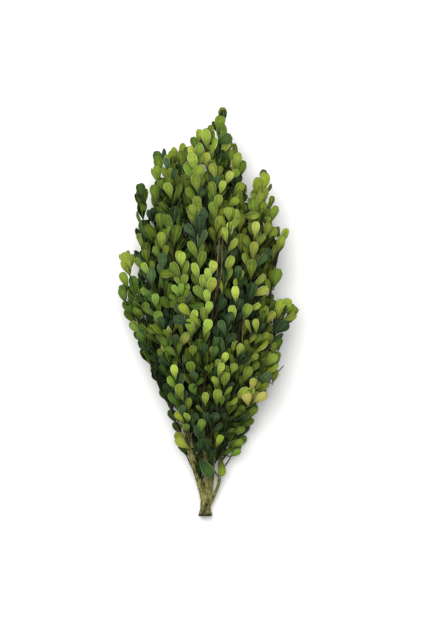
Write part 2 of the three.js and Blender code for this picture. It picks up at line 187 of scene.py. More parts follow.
# Leaves that are set one by one: the foot of the blade, its tip, its tone and hue, and for broad
# ones the width's share of the length
SET_LEAVES = [
    # Over the forks of the stems
    ((-11, 68, 43), (6.5, 43, 35), 0.6, 0.12), ((5, 55, 34), (4, 74, 44), 0.22, 0.08),
    ((17, 64, 22), (16.5, 44, 21), 0.75, 0.5), ((23, 65, 24), (37, 73, 27), 0.8, 0.36),
    ((25, 76, 26), (40, 84, 30), 0.7, 0.4), ((9, 75, 46), (16, 90, 52), 0.85, 0.52),
    ((-15, 72, 36), (-22, 90, 40), 0.25, 0.1), ((-4, 78, 48), (-11, 102, 56), 0.4, 0.04),
    ((2, 66, 44), (-1, 87, 52), 0.15, 0.06), ((-8, 41, 24), (-9, 60, 33), 0.12, 0.1),
    ((-5, 40, 26), (0, 60, 36), 0.2, 0.1),
    # The pair by itself at the lower left
    ((-16, 80, 31), (-36, 91, 30), 0.55, 0.6), ((-15, 73, 36), (-35, 86, 36), 0.72, 0.66),
    ((-24, 102, 64), (-34, 116, 70), 0.85, 0.6),
    # Up the left side
    ((-26, 88, 24), (-37, 104, 22), 0.2, 0.15), ((-33, 101, 26), (-42, 118, 22), 0.25, 0.2),
    ((-88, 232, 46), (-95, 252, 46), 0.5, 0.35), ((-85.5, 249, 50), (-94, 269, 52), 0.65, 0.5),
    ((-84.5, 270, 56), (-91.5, 291, 57), 0.7, 0.64, 0.5),
    ((-84, 270, 54), (-83.5, 289, 55), 0.45, 0.55, 0.5),
    ((-69.5, 348, 54), (-75.5, 366, 55), 0.3, 0.2), ((-55, 341, 56), (-58.5, 365, 60), 0.5, 0.4),
    ((-51.5, 379, 46), (-55.5, 402, 50), 0.35, 0.25), ((-44, 377, 58), (-43, 398, 60), 0.6, 0.55),
    ((-52, 367, 56), (-56, 386, 58), 0.65, 0.5), ((-38, 366, 60), (-41, 386, 62), 0.15, 0.15),
    ((-34, 384, 60), (-40, 402, 62), 0.6, 0.45),
    # Round the top and down the right side
    ((6.5, 402, 60), (2, 427, 62), 0.5, 0.45), ((12.5, 420, 55), (15, 441, 57), 0.62, 0.42, 0.58),
    ((9, 409, 60), (27.5, 418, 58), 0.45, 0.14, 0.62), ((-10, 399, 79), (-16, 417, 76), 0.35, 0.35),
    ((22, 378, 41), (22.5, 397, 40), 0.15, 0.2), ((25, 385, 44), (28.5, 404, 46), 0.5, 0.4),
    ((13, 396, 44), (15, 416, 44), 0.15, 0.1), ((-23, 369, 82), (-4, 384, 84), 0.72, 0.45),
    ((54, 350, 56), (56, 373, 58), 0.6, 0.55), ((60, 352, 54), (65, 378, 55), 0.75, 0.6),
    ((70, 322, 64), (76, 342, 62), 0.5, 0.5), ((69, 338, 56), (72, 353, 55), 0.35, 0.4),
    ((80, 300, 56), (88, 317, 56), 0.8, 0.55), ((69, 297, 58), (74, 319, 58), 0.6, 0.5),
    ((72.5, 249, 60), (79, 273, 58), 0.45, 0.4), ((77.5, 217, 60), (82, 240, 58), 0.85, 0.6, 0.5),
    ((84, 222, 57), (96.5, 233, 55), 0.45, 0.4, 0.5),
    ((75, 200, 58), (88.5, 215, 56), 0.35, 0.04, 0.65), ((74, 180, 48), (81, 197, 48), 0.35, 0.3),
    ((71, 164, 56), (79, 182, 54), 0.5, 0.4), ((71.5, 145, 50), (76, 163, 48), 0.5, 0.5),
    ((45.5, 121, 60), (43, 136, 66), 0.82, 0.86, 0.7),
    ((49, 125, 60), (66, 136, 60), 0.76, 0.84, 0.5),
    ((48, 137, 63), (51.5, 153, 66), 0.66, 0.76, 0.5),
    # Lying across in front
    ((22, 370, 70), (36, 381, 60), 0.7, 0.44), ((21, 339, 84), (35.5, 350, 80), 0.65, 0.5),
    ((28, 352, 74), (40, 367, 68), 0.55, 0.52, 0.5), ((-6, 209, 98), (-18, 222, 101), 0.6, 0.62),
    ((-15, 218, 99), (-30, 234, 99), 0.75, 0.55), ((-18, 213, 102), (-38, 218, 98), 0.4, 0.02, 0.5),
    ((-8, 306, 99), (-8, 331, 103), 0.3, 0.05, 0.5),
]
# How the stalk of such a leaf bends into it, in millimetres along its rib
STALK_BEND = 1.5

# Leaves across the others: the share of places that try for one, the lowest, opening and turn
CROSSING_SHARE = 0.5
CROSSING_FROM = 52
CROSSING_OPENING = (50, 95)
CROSSING_TURN = 0.9
TURN_BACK = 0.2

# Bare ends and stretches of brown twigs
BARE_TWIGS = [
    ((9, 236, 82), (11, 262, 97), (12, 290, 101), (16, 322, 99)),
    ((9, 240, 82), (15, 264, 96), (16.5, 286, 99), (17, 312, 97)),
    ((48, 130, 44), (66, 147, 46), (85, 167, 42)),
    ((-22, 92, 31), (-31, 103, 32), (-38, 113, 30)),
    ((-19, 78, 27), (-27, 90, 28), (-34, 97, 25)),
    ((30, 168, 62), (38, 190, 82), (40, 226, 87)),
]
BARE_TWIG_RADIUS = (1.1, 0.5)

TRUNK = {
    "step": 4,
    "route": [(-2, -1, 6.4), (-2, 9, 6.8), (-1, 18, 8.5), (0, 28, 11)],
    "rings": [(0, 7.2), (0.12, 6.9), (0.3, 5.4), (0.75, 5.6), (1, 3.4)],
}
# A stem that starts in the trunk is led back this far, to the trunk's middle.
STEM_SUNK = 8
LOWEST_STEM = 1
# Each stem: its route, the radius at its two ends, and its sprays. A spray is its twig's end, x,
# y and z, and the y at which it leaves the stem, or "end". The turn of its first leaf pair follows
# where it shapes the branch's outline.
STEMS = {
    "left": {
        "route": [(-3, 20, 9), (-7.5, 36, 14), (-13.2, 55, 20), (-18.4, 72, 26), (-23.8, 100, 34),
                  (-36, 150, 44), (-48, 200, 50), (-52, 250, 50), (-50, 290, 47)],
        "radius": (4.3, 1.4),
        "sprays": [(-52, 384, 44, "end", 0), (-73, 359, 54, 240, 0), (-70, 300, 42, 190),
                   (-87, 274, 52, 165, 0), (-88, 241, 36, 130), (-72, 198, 58, 108),
                   (-42, 124, 26, 78), (-26, 76, 12, 44, 0)],
    },
    "centre": {
        "route": [(1, 20, 9), (3.5, 36, 13), (5, 70, 24), (4, 120, 38), (5, 180, 47), (8, 240, 52),
                  (10, 300, 54), (11, 335, 52)],
        "radius": (4.3, 1.4),
        "sprays": [(16.5, 429, 50, "end", 90), (0, 414, 64, 305, 0), (-28, 388, 54, 280, 0),
                   (34, 390, 44, 290, 0), (20, 396, 38, 270, 0)],
    },
    "front": {
        "route": [(1, 26, 12), (-1, 60, 30), (-4, 100, 50), (-3, 150, 68), (3, 200, 78), (8, 245, 82),
                  (9, 285, 82)],
        "radius": (2.9, 1.3),
        "sprays": [(10, 368, 80, "end"), (-12, 388, 78, 262), (-12, 326, 94, 220),
                   (24, 322, 94, 212), (5, 264, 99, 165), (-17, 208, 93, 118), (12, 152, 82, 76),
                   (-8, 102, 58, 48)],
    },
    "front_left": {
        "route": [(-12, 55, 20), (-18, 85, 40), (-28, 130, 58), (-36, 190, 69), (-38, 250, 71),
                  (-37, 275, 71)],
        "radius": (2.2, 1.3),
        "sprays": [(-40, 376, 68, "end"), (-50, 314, 82, 215), (-28, 272, 94, 172),
                   (-62, 262, 74, 164), (-46, 204, 86, 112), (-34, 150, 84, 84)],
    },
    "front_right": {
        "route": [(5, 70, 24), (14, 100, 43), (27, 150, 61), (36, 210, 70), (39, 260, 70),
                  (38, 280, 68)],
        "radius": (2.2, 1.3),
        "sprays": [(33, 345, 66, "end"), (52, 304, 82, 206), (34, 256, 93, 168),
                   (73, 256, 64, 156), (22, 208, 93, 118), (54, 200, 80, 112)],
    },
    "right": {
        "route": [(5, 68, 24), (15, 92, 30), (28, 125, 38), (43, 170, 46), (53, 215, 50),
                  (56, 255, 50), (56, 282, 49)],
        "radius": (2.8, 1.4),
        "sprays": [(61, 361, 48, "end", 90), (54, 337, 62, 238), (80, 299, 54, 192, 0),
                   (84, 231, 52, 142, 0), (71, 174, 60, 112), (55, 125, 36, 84)],
    },
    "back": {
        "route": [(2, 26, 10), (2, 60, 14), (1, 120, 21), (3, 180, 25), (6, 240, 26), (8, 284, 24)],
        "radius": (2.7, 1.3),
        "sprays": [(20, 364, 20, "end"), (-10, 316, 5, 218), (36, 306, 4, 206), (18, 256, 5, 165),
                   (-18, 258, 4, 158), (-2, 204, 6, 114), (12, 136, 8, 74)],
    },
    "back_left": {
        "route": [(-11, 52, 18), (-18, 85, 19), (-28, 130, 23), (-36, 190, 26), (-38, 250, 25),
                  (-37, 278, 24)],
        "radius": (2.1, 1.3),
        "sprays": [(-34, 362, 22, "end"), (-55, 344, 22, 208), (-58, 250, 6, 160),
                   (-62, 190, 12, 116), (-20, 142, 12, 76)],
    },
    "back_right": {
        "route": [(4, 14, 8), (12.3, 28, 11), (13.8, 45, 13), (15.5, 72, 17), (27, 115, 22),
                  (42, 165, 24), (52, 205, 26)],
        "radius": (1.9, 1.3),
        "sprays": [(74, 287, 30, "end"), (56, 250, 5, 160), (77, 180, 26, 136), (30, 196, 7, 116),
                   (46, 106, 17, 64), (31, 74, 8, 50, 20)],
    },
}

UP = np.array([0.0, 0.0, 1.0])
PRESSED = np.array([1.0, 1.0, FLAT])
FLAT_RIB = np.array([1.0, 1.0, RIB_FLAT])


def unit(v):
    return v / math.sqrt(float(v @ v))


def mix(a, b, t):
    return a + (b - a) * t


def clamp(value, highest=1):
    return min(highest, max(0, value))


def draw(*keys):
    """A repeatable draw from 0 to 1 for a set of whole numbers, as in the solids."""
    bits = SEED
    for key in keys:
        bits = ((bits ^ (key + 1)) * 0x9E3779B1) & 0xFFFFFFFF
        bits ^= bits >> 15
        bits = (bits * 0x85EBCA77) & 0xFFFFFFFF
        bits ^= bits >> 13
    return bits / 2**32


def crosswise(direction):
    """Two directions at right angles to a stem's: a level one, and the one over the stem."""
    across = unit(np.cross(direction, UP))
    return across, np.cross(across, direction)


def turned_about(direction, turn):
    """The direction that points straight away from a stem at a given turn about it."""
    across, over = crosswise(direction)
    return across * math.cos(turn) + over * math.sin(turn)


class Route:
    """A line of points, with the place and direction at any length along it."""

    def __init__(self, points):
        self.points = [np.asarray(p, float) for p in points]
        self.reach = [0.0]
        for a, b in zip(self.points, self.points[1:]):
            self.reach.append(self.reach[-1] + math.dist(a, b))
        self.length = self.reach[-1]

    def at(self, length):
        target = min(length, self.length)
        i = max(1, next(i for i, reach in enumerate(self.reach) if reach >= target))
        direction = unit(self.points[i] - self.points[i - 1])
        return self.points[i - 1] + direction * (length - self.reach[i - 1]), direction

    def length_at_y(self, y):
        i = next(i for i, p in enumerate(self.points) if p[1] >= y)
        before, after = self.points[i - 1], self.points[i]
        return mix(self.reach[i - 1], self.reach[i], (y - before[1]) / (after[1] - before[1]))


def in_steps(smooth, step):
    """A smooth route cut into straight lengths of about one step each."""
    steps = max(2, math.floor(smooth.length / step + 0.5))
    return [smooth.at(smooth.length * i / steps)[0] for i in range(steps + 1)]


def through(points):
    """A curve that runs through all the points, four short lengths between each two."""
    points = [np.asarray(p, float) for p in points]
    ends = [2 * points[0] - points[1], *points, 2 * points[-1] - points[-2]]
    curve = []
    for before, a, b, after in zip(ends, ends[1:], ends[2:], ends[3:]):
        ta, tb = (b - before) / 2, (after - a) / 2
        for t in (0, 0.25, 0.5, 0.75):
            bend = (3 * (b - a) - 2 * ta - tb) * t**2
            curve.append(a + ta * t + bend + (2 * (a - b) + ta + tb) * t**3)
    return Route([*curve, points[-1]])


def stem_route(route, step):
    return Route(in_steps(through(route), step))


def twig_route(start, stem_direction, stem_radius, tip):
    """A twig's route from its stem's middle; its second point is its foot on the stem."""
    straight = unit(tip - start)
    aside = unit(straight - stem_direction * (straight @ stem_direction))
    on_end = stem_radius == 0
    foot = start + (stem_direction if on_end else aside) * (stem_radius + SEAT_GAP)
    leaving = stem_direction if on_end else unit(stem_direction + aside * LEAVING_SLOPE)
    arriving = unit(unit(tip - FAN_CENTRE) + straight)
    reach = math.dist(tip, foot)
    a = foot + leaving * reach * (STRAIGHT if on_end else SIDE_STRAIGHT)
    b = tip - arriving * reach * STRAIGHT
    curve = []
    for i in range(ROUTE_SAMPLES + 1):
        t = i / ROUTE_SAMPLES
        near_foot = (1 - t) ** 3 * foot + 3 * (1 - t) ** 2 * t * a
        curve.append(near_foot + 3 * (1 - t) * t**2 * b + t**3 * tip)
    return Route([start, *in_steps(Route(curve), TWIG_STEP)])


class Spray:
    """A twig with its leaves, and how far its first leaf pair is turned about it."""

    def __init__(self, name, number, twig, turned):
        self.name, self.number, self.twig = name, number, twig
        self.turn = math.radians(turned[0] if turned else 360 * draw(number))


stems, sprays = [], []
for stem_name, stem in STEMS.items():
    route = stem_route(stem["route"], STEM_STEP)
    stems.append((stem_name, route, stem["radius"]))
    for count, (x, y, z, leaves, *turned) in enumerate(stem["sprays"], 1):
        on_end = leaves == "end"
        start = route.length if on_end else route.length_at_y(leaves)
        place, direction = route.at(start)
        stem_radius = 0 if on_end else mix(*stem["radius"], start / route.length)
        twig = twig_route(place, direction, stem_radius, np.array([x, y, z], float))
        sprays.append(Spray(f"{stem_name}_spray_{count}", len(sprays), twig, turned))

# Every twig, with room for leaves past its end, and every stem, as straight lengths
lines = []
for spray in sprays:
    place, direction = spray.twig.at(spray.twig.length)
    lines.append([*spray.twig.points, place + direction * TIP_REACH])
lines.extend(route.points for _, route, _ in stems)
starts = np.array([a for line in lines for a in line[:-1]])
ways = np.array([b - a for line in lines for a, b in zip(line, line[1:])])
way_squares = (ways**2).sum(1)
first_of = np.cumsum([0, *(len(line) - 1 for line in lines[:-1])])
stem_limits = np.array([STEM_CLEARANCE + radius[0] for _, _, radius in stems])


def gaps_to_wood(points):
    """How far each point is from the middle line of each twig, and of each stem."""
    from_start = points[:, None] - starts
    t = np.clip((from_start * ways).sum(2) / way_squares, 0, 1)
    gaps = np.sqrt(((from_start - ways * t[..., None]) ** 2).sum(2))
    nearest = np.minimum.reduceat(gaps, first_of, axis=1)
    return nearest[:, : len(sprays)], nearest[:, len(sprays) :]


def nearest_wood(point):
    """The place on the middle line of any twig or stem that lies nearest to a point."""
    t = np.clip(((point - starts) * ways).sum(1) / way_squares, 0, 1)
    places = starts + ways * t[:, None]
    return places[((places - point) ** 2).sum(1).argmin()]


def keeps_clear(points, owner):
    """True where all points are nearer to their own twig than to others, and off the stems."""
    to_twigs, to_stems = gaps_to_wood(points)
    own = to_twigs[:, owner].copy()
    to_twigs[:, owner] = np.inf
    clear = (to_twigs >= own[:, None] + CLEARANCE).all()
    return clear and (to_stems >= STEM_SHARE * own[:, None] + stem_limits).all()


def clear_of_wood(points):
    """True where all points are off every twig and stem."""
    to_twigs, to_stems = gaps_to_wood(points)
    return (to_twigs > TWIG_CLEARANCE).all() and (to_stems > stem_limits).all()


def in_gap(points, foot_x, foot_y, left, right, top):
    x, y = points[:, 0], points[:, 1]
    share = (y - foot_y) / (top - foot_y)
    beside = (x < mix(foot_x, left, share)) | (x > mix(foot_x, right, share))
    return (share > 0) & (share < 1) & ~beside


def within_edges(points, slack=SLACK):
    left = np.interp(points[:, 1], *zip(*LEFT_EDGE)) - slack
    right = np.interp(points[:, 1], *zip(*RIGHT_EDGE)) + slack
    inside = ((points[:, 0] > left) & (points[:, 0] < right)).all()
    return inside and not any(in_gap(points, *gap).any() for gap in GAPS)


def in_height(points):
    """True above where a leaf can be bent flat on the table, and under the top."""
    return points[:, 2].min() > -DEEPEST_PRESS and points[:, 2].max() < HIGHEST


def risen(points):
    """How far the middle of the foliage has risen, from 0 to 1."""
    return np.clip(points[..., 1] / RISEN_AT, 0, 1)


def above_middle(points):
    return points[..., 2] - mix(*MIDDLE_HEIGHT, risen(points))


def inside_core(points):
    """True for places well inside the foliage."""
    below = (above_middle(points) < np.interp(points[:, 1], *zip(*INNER_TOP))).all()
    return below and within_edges(points, -INNER_INSET)


def outwards(place):
    """The way out from the middle, which leaves face."""
    height = above_middle(place) + FACING_LIFT
    aside = (place[0] - MIDDLE_ASIDE * risen(place)) * SIDE_FACING
    return unit(np.array([aside, 0, height + math.copysign(LEAST_UPRIGHT, height)]))


class Leaf:
    """A blade's middle surface: its root, rib, width and upper side, and its size."""

    def __init__(self, place, direction, turn, opening, pick, size=1.0, at_tip=False):
        away = turned_about(direction, turn)
        rib = direction * math.cos(opening) + away * math.sin(opening) * PRESSED
        inner = direction * math.sin(opening) - away * math.cos(opening)
        out = outwards(place)
        turned = TIP_FACING if at_tip else mix(*OUTWARD_FACING, pick(FACING))
        if inner @ out < 0:
            turned = -turned
        facing = inner * INWARD_FACING + out * turned
        self.place, self.rib = place, unit(rib * FLAT_RIB)
        self.sideways = unit(np.cross(facing, self.rib))
        self.normal = unit(np.cross(self.rib, self.sideways))
        size *= mix(*SIZE_FROM_FOOT, min(1, place[1] / FULL_SIZE_FROM))
        self.length = size * mix(*LEAF_LENGTHS, pick(LENGTH))
        width = LEAF_WIDTH * mix(*WIDTHS, pick(WIDTH))
        self.half_width = self.length * width / 2
        self.pick = pick
        self.marks = self.at(MARKS, 0.0)

    def at(self, u, v, lift=0.0):
        """Places for shares of the length and of half the width, raised by lift."""
        u, v, lift = np.broadcast_arrays(u, v, lift)
        height = lift - ARCH * self.length * u**2 - CUP * v**2
        return (
            self.place
            + u[..., None] * self.length * self.rib
            + v[..., None] * self.half_width * self.sideways
            + height[..., None] * self.normal
        )

    def outline(self):
        return self.at(*np.array(OUTLINE).T)


class SetLeaf(Leaf):
    """A leaf set by its foot and tip, with its upper side up."""

    def __init__(self, foot, tip, count, width_share):
        self.place = np.array(foot, float)
        reach = np.array(tip, float) - self.place
        self.length = math.sqrt(reach @ reach)
        self.rib = reach / self.length
        self.sideways = unit(np.cross(UP, self.rib))
        self.normal = np.cross(self.rib, self.sideways)
        self.half_width = self.length * width_share / 2
        self.pick = lambda k: draw(SET_LEAF, count, k)
        self.marks = self.at(MARKS, 0.0)


def leaf_turn(first_turn, node, side, pick):
    """A leaf's turn about its twig: each pair stands crosswise to the last."""
    turned = NODE_TURN * node + 180 * side + TURN_SPREAD * (pick(TURN) - 0.5)
    return first_turn + math.radians(turned)


def first_that_fits(fits, place, direction, turn, pick, size, at_tip):
    """The leaf that is as open as there is room for, or none."""
    wide = TIP_OPENING if at_tip else mix(*LEAF_OPENINGS, pick(OPENING))
    for share in TRIES:
        leaf = Leaf(place, direction, turn, math.radians(share * wide), pick, size, at_tip)
        if fits(leaf):
            return leaf
    return None


def leaf_pairs(spots, fits, first_turn, size, keys, first_node=0, first_draw=0):
    """The leaves that fit, two for each spot on a short twig, from its end inwards."""
    found = []
    for pair, (place, direction) in enumerate(spots):
        for side in (0, 1):

            def pick(k, pair=pair, side=side):
                return draw(*keys, pair, side, k + first_draw)

            turn = leaf_turn(first_turn, pair + first_node, side, pick)
            found.append(first_that_fits(fits, place, direction, turn, pick, size, pair == 0))
    return [leaf for leaf in found if leaf]


def fits_beside_twig(owner):
    """A test for a leaf of one spray: in the foliage, and clear of the other twigs."""

    def fits(leaf):
        points = leaf.outline()
        return in_height(points) and within_edges(points) and keeps_clear(points, owner)

    return fits


def spray_leaf(spray, node, side):

    def pick(k):
        return draw(spray.number, node, side, k)

    off_node = pick(SPOT) * SPOT_SPREAD if node else TIP_SPOT
    place, direction = spray.twig.at(spray.twig.length - node * LEAF_PITCH - off_node)
    turn = leaf_turn(spray.turn, node, side, pick)
    size = YOUNG_LEAVES[node] if node < len(YOUNG_LEAVES) else 1
    fits = fits_beside_twig(spray.number)
    return first_that_fits(fits, place, direction, turn, pick, size, node == 0)


class Crowd:
    """The leaves placed so far, as points on their ribs."""

    def __init__(self):
        self.points = np.empty((MOST_MARKS, 3))
        self.count = 0

    def add(self, leaf):
        self.points[self.count : self.count + len(MARKS)] = leaf.marks
        self.count += len(MARKS)

    def has_room(self, leaf):
        placed = self.points[: self.count]
        near = placed[np.abs(placed[:, 1] - leaf.marks[1, 1]) < NEARBY]
        gaps = ((near[:, None] - leaf.marks) ** 2).sum(2)
        return not len(near) or gaps.min() > LEAF_GAP**2


class InnerTwig:
    """A short twig beside a stem, with leaf pairs along its outer part."""

    def __init__(self, stem, count, route, spot, radius):
        self.keys = (INNER_TWIGS + stem, count)
        far, wide, turned = (draw(*self.keys, k) for k in (1, 2, 3))
        place, direction = route.at(spot)
        across, over = crosswise(direction)
        turn = math.radians(GOLDEN_ANGLE * count + STEM_TURN * stem)
        away = across * math.cos(turn) + over * math.sin(turn) * INNER_FLAT
        reach = mix(*INNER_REACH, far)
        foot = place + away * radius * INNER_SEAT
        aside = away * mix(*INNER_SPREAD, wide)
        middle = foot + (direction * INNER_ALONG[0] + aside) * reach * INNER_MIDDLE
        tip = foot + (direction * INNER_ALONG[1] + aside) * reach
        curve = []
        for i in range(INNER_SAMPLES + 1):
            t = i / INNER_SAMPLES
            curve.append((1 - t) ** 2 * foot + 2 * (1 - t) * t * middle + t**2 * tip)
        self.route = Route(curve)
        self.turn = 2 * math.pi * turned

    def fits(self):
        outer = np.array(self.route.points[INNER_SAMPLES // 2 :])
        return outer[:, 2].min() > LOWEST_INNER and inside_core(outer)

    def leaves(self, crowd):
        def fits(leaf):
            inside = in_height(leaf.marks) and inside_core(leaf.marks)
            return inside and clear_of_wood(leaf.marks) and crowd.has_room(leaf)

        pairs = int((self.route.length - INNER_FOOT) / LEAF_PITCH) + 1
        ends = (self.route.length - pair * LEAF_PITCH - TIP_SPOT for pair in range(pairs))
        return leaf_pairs(map(self.route.at, ends), fits, self.turn, INNER_LEAF_SIZE, self.keys)


class Shoot:
    """A short side shoot of a twig, with its own leaf pairs."""

    def __init__(self, spray, node):
        place, direction = spray.twig.at(spray.twig.length - node * LEAF_PITCH - SHOOT_SPOT)
        side, steep, far = (draw(spray.number, node, k) for k in SHOOT_SHAPE)
        turn = spray.turn + math.radians(NODE_TURN * node + 180 * round(side) + SHOOT_TURN)
        slope = math.radians(mix(*SHOOT_SLOPES, steep))
        self.length = mix(*SHOOT_REACH, far)
        self.direction = direction * math.cos(slope) + turned_about(direction, turn) * math.sin(slope)
        self.start, self.tip = place, place + self.direction * self.length
        self.spray, self.node, self.turn = spray, node, turn

    def fits(self):
        line = np.array([self.tip, (self.tip + self.start) / 2])
        above = self.tip[2] > LOWEST_SHOOT
        return above and within_edges(line) and keeps_clear(line, self.spray.number)

    def leaves(self):
        fits = fits_beside_twig(self.spray.number)
        pairs = 1 + int((self.length - SHOOT_FOOT) / SHOOT_PITCH)
        ends = (self.length - pair * SHOOT_PITCH for pair in range(pairs))
        spots = [(self.start + self.direction * end, self.direction) for end in ends]
        keys = (self.spray.number, self.node)
        return leaf_pairs(spots, fits, self.turn, SHOOT_LEAF_SIZE, keys, 1, SHOOT_LEAVES)


class Mesh:
    """Corners, faces, and four numbers for each corner, which the materials read."""

    def __init__(self):
        self.places, self.colours, self.quads, self.kinds = [], [], [], []
        self.count = 0

    def add(self, places, colours, quads, kinds):
        """Adds faces; their kind is the place of their material in the piece's list."""
        self.places.append(places)
        self.colours.append(colours)
        self.quads.append(quads + self.count)
        self.kinds.append(np.broadcast_to(kinds, len(quads)))
        self.count += len(places)

    def build(self, name, materials):
        places = (np.concatenate(self.places) + CUT_END) * MM
        quads = np.concatenate(self.quads)
        mesh = bpy.data.meshes.new(name)
        mesh.vertices.add(len(places))
        mesh.vertices.foreach_set("co", places.ravel())
        mesh.loops.add(quads.size)
        mesh.loops.foreach_set("vertex_index", quads.ravel())
        mesh.polygons.add(len(quads))
        mesh.polygons.foreach_set("loop_start", np.arange(0, quads.size, 4))
        mesh.update(calc_edges=True)
        mesh.polygons.foreach_set("material_index", np.concatenate(self.kinds))
        mesh.polygons.foreach_set("use_smooth", np.ones(len(quads), bool))
        tone = mesh.color_attributes.new("tone", "FLOAT_COLOR", "POINT")
        tone.data.foreach_set("color", np.concatenate(self.colours).ravel())
        mesh.validate()
        piece = bpy.data.objects.new(name, mesh)
        bpy.context.collection.objects.link(piece)
        for material in materials:
            mesh.materials.append(material)
        return piece


# The materials' places in the lists of the leafy pieces and of the stems
UPPER_SIDE, UNDERSIDE, GREEN_TWIG = range(3)
BARK_COVERED, BROWN_TWIG = range(2)

# A blade's grid. The first row is its stalk, the last its rounded end.
ROWS = np.array([0, 0.1, 0.24, 0.4, 0.56, 0.7, 0.82, 0.93, 0.99])
COLUMNS = np.array([-1, -0.9, -0.5, -0.06, 0.06, 0.5, 0.9, 1])
WIDEST = 0.72
STALK_WIDTH = 0.1
FOOT_TAPER = 1.85
END_ROUNDING = 2.1
END_REACH = 1.004
# The notch at the end, as a share of the length, in the last rows
NOTCH = 0.012
NOTCH_FROM = 0.9
# The height and number of the margin's waves, and how far the tip twists and bends up
WAVE_HEIGHT = 0.28
WAVES = 1.3
TWIST_HEIGHT = 1.6
BENDS = (-0.49, 0.91)
# Most blades are folded along the rib like a roof, some the other way.
FOLDS = (-1.68, 3.6)
FOLD_EASING = 0.75
# The groove along the rib on the upper side, and its ridge on the underside
RIB_WIDTH = 0.12
RIB_FADING = 0.7
UPPER_GROOVE = 0.22
LOWER_RIDGE = 0.16
THINNING = 0.4
UNDERSIDE_LIFT = 0.05


def blade_width(u):
    """The width along an obovate blade with a tapered foot, from 0 to 1."""
    foot = np.sin(np.pi / 2 * np.clip(u, 0, WIDEST) / WIDEST) ** FOOT_TAPER
    past = np.clip(u - WIDEST, 0, 1) / (END_REACH - WIDEST)
    end = np.sqrt(np.clip(1 - past**END_ROUNDING, 0, 1))
    return np.where(u < WIDEST, np.maximum(foot, STALK_WIDTH), end)


def grid_faces(rows, columns):
    """Quads of a closed blade: an upper and a lower sheet that share their whole rim."""
    upper = np.arange(rows * columns).reshape(rows, columns)
    lower = upper.copy()
    lower[1:-1, 1:-1] = rows * columns + np.arange((rows - 2) * (columns - 2)).reshape(rows - 2, -1)
    faces, kinds = [], []
    for sheet, kind in ((upper, UPPER_SIDE), (lower, UNDERSIDE)):
        a, b, c, d = sheet[:-1, :-1], sheet[:-1, 1:], sheet[1:, 1:], sheet[1:, :-1]
        order = (a, b, c, d) if kind == UPPER_SIDE else (d, c, b, a)
        faces.append(np.stack([corner.ravel() for corner in order], 1))
        kinds.append(np.full(a.size, kind))
    return np.concatenate(faces), np.concatenate(kinds)


BLADE_QUADS, BLADE_KINDS = grid_faces(len(ROWS), len(COLUMNS))


def add_blade(mesh, leaf, tone, hue):
    pick = leaf.pick
    u = np.repeat(ROWS[:, None], len(COLUMNS), 1)
    v = np.repeat(COLUMNS[None], len(ROWS), 0)
    width = v * blade_width(u)
    along = u - NOTCH * (1 - np.abs(v)) * (u > NOTCH_FROM)
    wave = WAVE_HEIGHT * np.sin(2 * np.pi * (WAVES * u + pick(WAVE))) * v**2
    twist = TWIST_HEIGHT * (pick(TWIST) - 0.5) * u**2 * v
    bend = mix(*BENDS, pick(BEND)) * u**2
    fold = mix(*FOLDS, pick(FOLD)) * (np.abs(v) - FOLD_EASING * v**2)
    rib = np.exp(-((v / RIB_WIDTH) ** 2)) * (1 - RIB_FADING * u)
    half = BLADE_THICKNESS / 2 * (1 - THINNING * v**2)
    shape = wave + twist + bend - fold
    upper = leaf.at(along, width, shape + half - UPPER_GROOVE * rib)
    lower = leaf.at(along, width, shape - half - LOWER_RIDGE * rib)
    rim = leaf.at(along, width, shape)
    for edge in (np.s_[0], np.s_[-1], np.s_[:, 0], np.s_[:, -1]):
        upper[edge] = rim[edge]
    inside = np.s_[1:-1, 1:-1]
    places = np.concatenate([upper.reshape(-1, 3), lower[inside].reshape(-1, 3)])
    # Where it would go under the table, the blade lies on it.
    floor = np.where(np.arange(len(places)) < u.size, BLADE_THICKNESS, UNDERSIDE_LIFT)
    places[:, 2] = np.maximum(places[:, 2], floor)
    colours = np.empty((len(places), 4))
    colours[:, :2] = tone, hue
    for place, shares in ((2, np.abs(v)), (3, u)):
        colours[:, place] = [*shares.ravel(), *shares[inside].ravel()]
    mesh.add(places, colours, BLADE_QUADS, BLADE_KINDS)


# How far to either side a route is looked at, to round off its corners
BEND_ROUNDING = 4


def tube(mesh, route, radius_at, sides, step, kind, start=0, relief=None):
    """A closed stem along a route, from start to the route's end."""
    steps = max(2, round((route.length - start) / step))
    angles = 2 * np.pi * np.arange(sides) / sides
    rings, shares, reliefs = [], [], []
    for i in range(steps + 1):
        share = i / steps
        spot = mix(start, route.length, share)
        place, direction = route.at(spot)
        before, _ = route.at(max(spot - BEND_ROUNDING, start))
        after, _ = route.at(min(spot + BEND_ROUNDING, route.length))
        place = (place * 2 + before + after) / 4
        across, over = crosswise(direction)
        radius = radius_at(share)
        wide = np.full(sides, radius) if relief is None else relief(share, angles, radius)
        reliefs.append(wide / radius)
        around = np.outer(np.cos(angles) * wide, across) + np.outer(np.sin(angles) * wide, over)
        rings.append(place + around)
        shares.append(np.full(sides, share))
    side = np.arange(sides)
    quads = []
    for i in range(steps):
        a = i * sides + side
        b = i * sides + (side + 1) % sides
        quads.append(np.stack([a, a + sides, b + sides, b], 1))
    # Flat ends, as strips of quads.
    for ring in (0, steps):
        base = ring * sides
        for k in range(sides // 2 - 1):
            quad = [base + k, base + k + 1, base + sides - 2 - k, base + sides - 1 - k]
            quads.append(np.array([quad[::-1] if ring else quad]))
    places = np.concatenate(rings)
    colours = np.zeros((len(places), 4))
    colours[:, 0] = 1
    colours[:, 1] = np.concatenate(reliefs)
    colours[:, 3] = np.concatenate(shares)
    mesh.add(places, colours, np.concatenate(quads), kind)


def thin_twig(mesh, route, step):
    tube(mesh, route, tapering(*SHOOT_RADIUS), sides=6, step=step, kind=GREEN_TWIG)


def tapering(first, last):
    return lambda share: mix(first, last, share)


